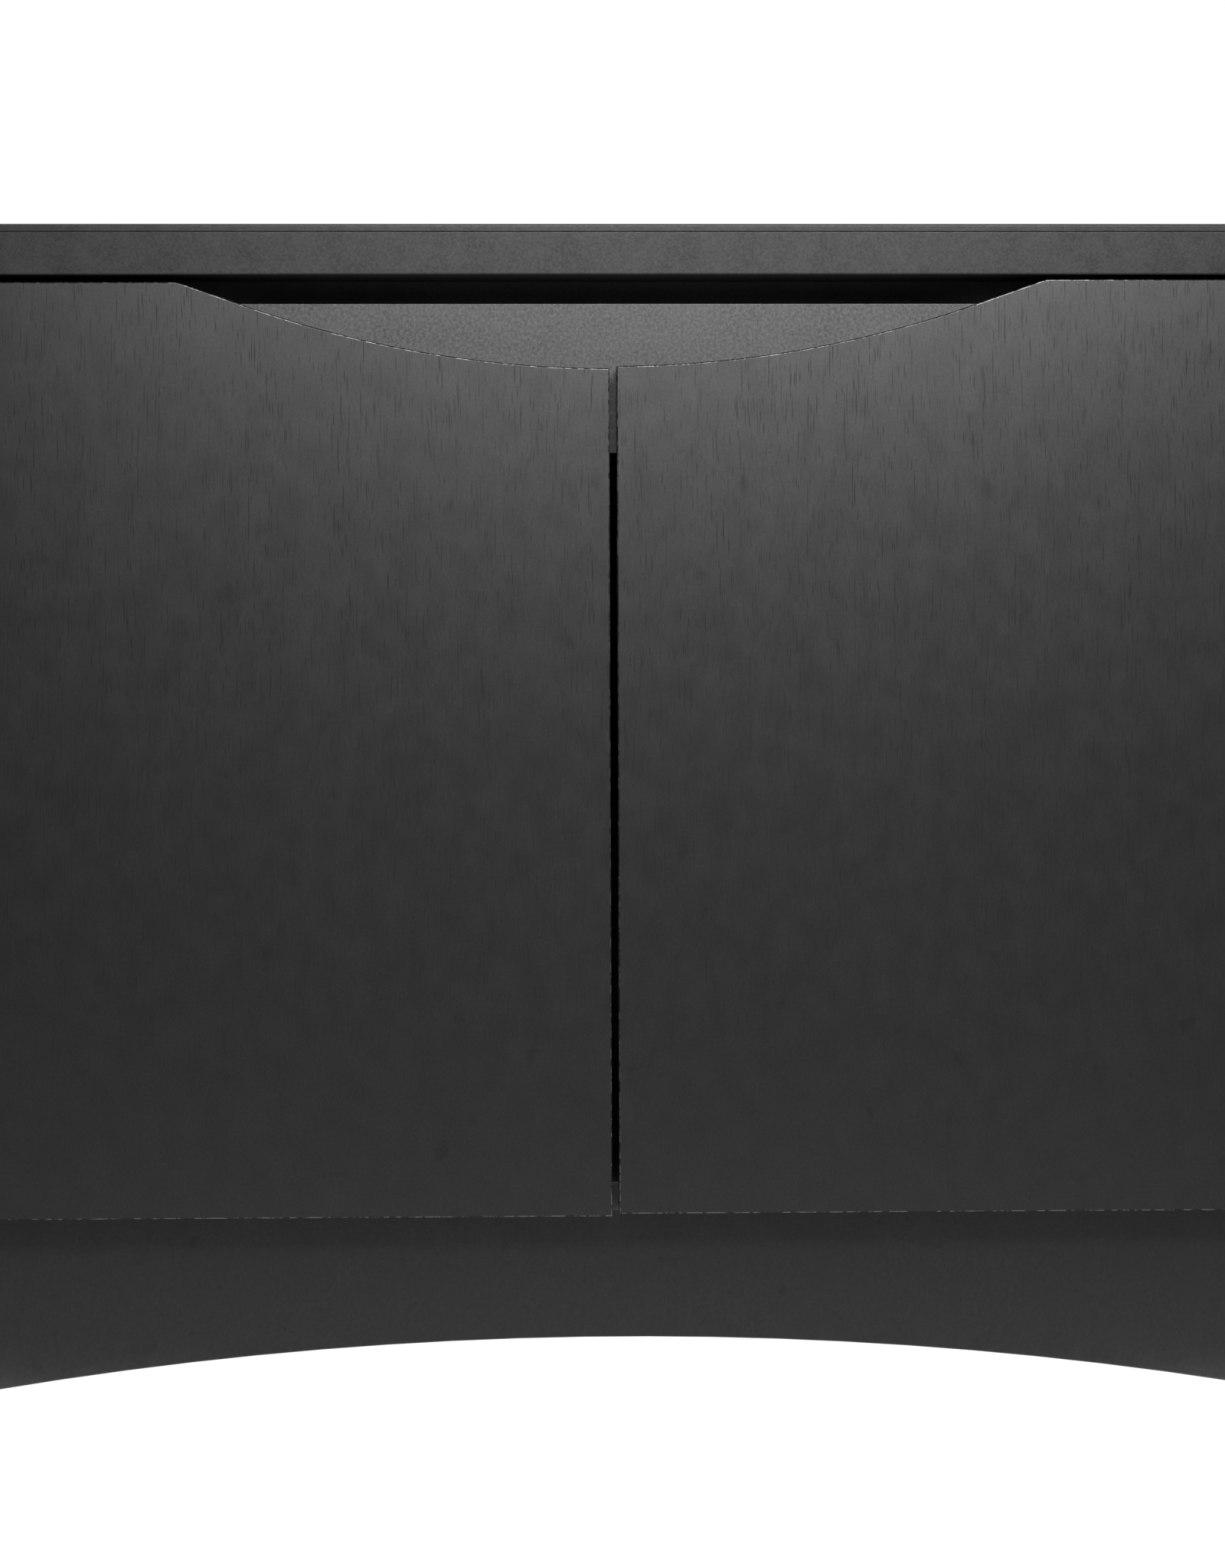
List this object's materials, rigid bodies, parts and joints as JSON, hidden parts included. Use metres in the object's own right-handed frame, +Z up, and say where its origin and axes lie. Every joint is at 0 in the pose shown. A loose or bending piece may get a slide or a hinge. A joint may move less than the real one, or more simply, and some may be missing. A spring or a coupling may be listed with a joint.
{
  "type": "aquarium stand cabinet",
  "caption": "Low black cabinet that carries an aquarium: twin overlay doors with a shared finger scoop under the top, concealed hinges and an arched plinth.",
  "frame": {"origin": "on the floor, under the middle of the top's outline", "axes": "+Z up, -Y towards the user at the doors, +X to that user's right"},
  "size_m": [0.927, 0.47, 0.737],
  "materials": {
    "door_veneer": "black-stained open-pore veneer, satin",
    "top_laminate": "smooth black satin laminate",
    "carcass_board": "black melamine board, satin",
    "plinth_board": "black satin painted board",
    "textured_rail": "black melamine with a coarse pebble texture",
    "back_board": "black-faced hardboard",
    "hinge_steel": "nickel-plated pressed steel",
    "zinc_fastener": "zinc-plated",
    "beech_dowel": "plain beech",
    "pine_block": "plain sawn softwood",
    "black_plastic": "fine moulded texture",
    "clear_bumper": "soft translucent polyurethane"
  },
  "bodies": {
    "cabinet": {"top_sheet": "top_laminate", "top_board": "top_laminate", "side_panel_left": "carcass_board", "side_panel_right": "carcass_board", "bottom_panel": "carcass_board", "front_rail": "textured_rail", "front_stretcher": "carcass_board", "rear_stretcher": "carcass_board", "top_brace": "carcass_board", "corner_blocks": "pine_block", "plinth_front": "plinth_board", "plinth_rear": "plinth_board", "plinth_brace": "carcass_board", "floor_glides": "black_plastic", "back_panel": "back_board", "port_ring_left": "black_plastic", "port_ring_right": "black_plastic", "cam_locks": "zinc_fastener", "cam_bolts": "zinc_fastener", "dowels": "beech_dowel", "brace_dowels": "beech_dowel", "block_screws": "zinc_fastener", "back_screws": "zinc_fastener", "hinge_plate_screws": "zinc_fastener", "hinge_arm_screws": "zinc_fastener", "hinge_plate_left_upper": "hinge_steel", "hinge_arm_left_upper": "hinge_steel", "hinge_plate_left_lower": "hinge_steel", "hinge_arm_left_lower": "hinge_steel", "hinge_arm_pins_left": "hinge_steel", "hinge_plate_right_upper": "hinge_steel", "hinge_arm_right_upper": "hinge_steel", "hinge_plate_right_lower": "hinge_steel", "hinge_arm_right_lower": "hinge_steel", "hinge_arm_pins_right": "hinge_steel"},
    "left_hinge_links": {"hinge_link_left_upper": "hinge_steel", "hinge_link_left_lower": "hinge_steel"},
    "left_door": {"door_panel_left": "door_veneer", "door_bumpers_left": "clear_bumper", "hinge_cup_left_upper": "hinge_steel", "hinge_cup_left_lower": "hinge_steel", "hinge_cup_pins_left": "hinge_steel", "hinge_cup_screws_left": "zinc_fastener"},
    "right_hinge_links": {"hinge_link_right_upper": "hinge_steel", "hinge_link_right_lower": "hinge_steel"},
    "right_door": {"door_panel_right": "door_veneer", "door_bumpers_right": "clear_bumper", "hinge_cup_right_upper": "hinge_steel", "hinge_cup_right_lower": "hinge_steel", "hinge_cup_pins_right": "hinge_steel", "hinge_cup_screws_right": "zinc_fastener"}
  },
  "joints": [
    {"name": "left_hinge_link_swing", "type": "hinge", "parent": "cabinet", "child": "left_hinge_links", "pos_m": [-0.4269, -0.22165, 0.395], "axis": [0, 0, -1], "range_deg": [-39.5, 0]},
    {"name": "left_door_swing", "type": "hinge", "parent": "left_hinge_links", "child": "left_door", "pos_m": [-0.447, -0.2182, 0.395], "axis": [0, 0, -1], "range_deg": [-0.5, 140]},
    {"name": "right_hinge_link_swing", "type": "hinge", "parent": "cabinet", "child": "right_hinge_links", "pos_m": [0.4269, -0.22165, 0.395], "axis": [0, 0, 1], "range_deg": [-39.5, 0]},
    {"name": "right_door_swing", "type": "hinge", "parent": "right_hinge_links", "child": "right_door", "pos_m": [0.447, -0.2182, 0.395], "axis": [0, 0, 1], "range_deg": [-0.5, 140]}
  ],
  "couplings": [
    {"joint": "left_door_swing", "follows": "left_hinge_link_swing", "ratio": -3.5316},
    {"joint": "right_door_swing", "follows": "right_hinge_link_swing", "ratio": -3.5316}
  ]
}
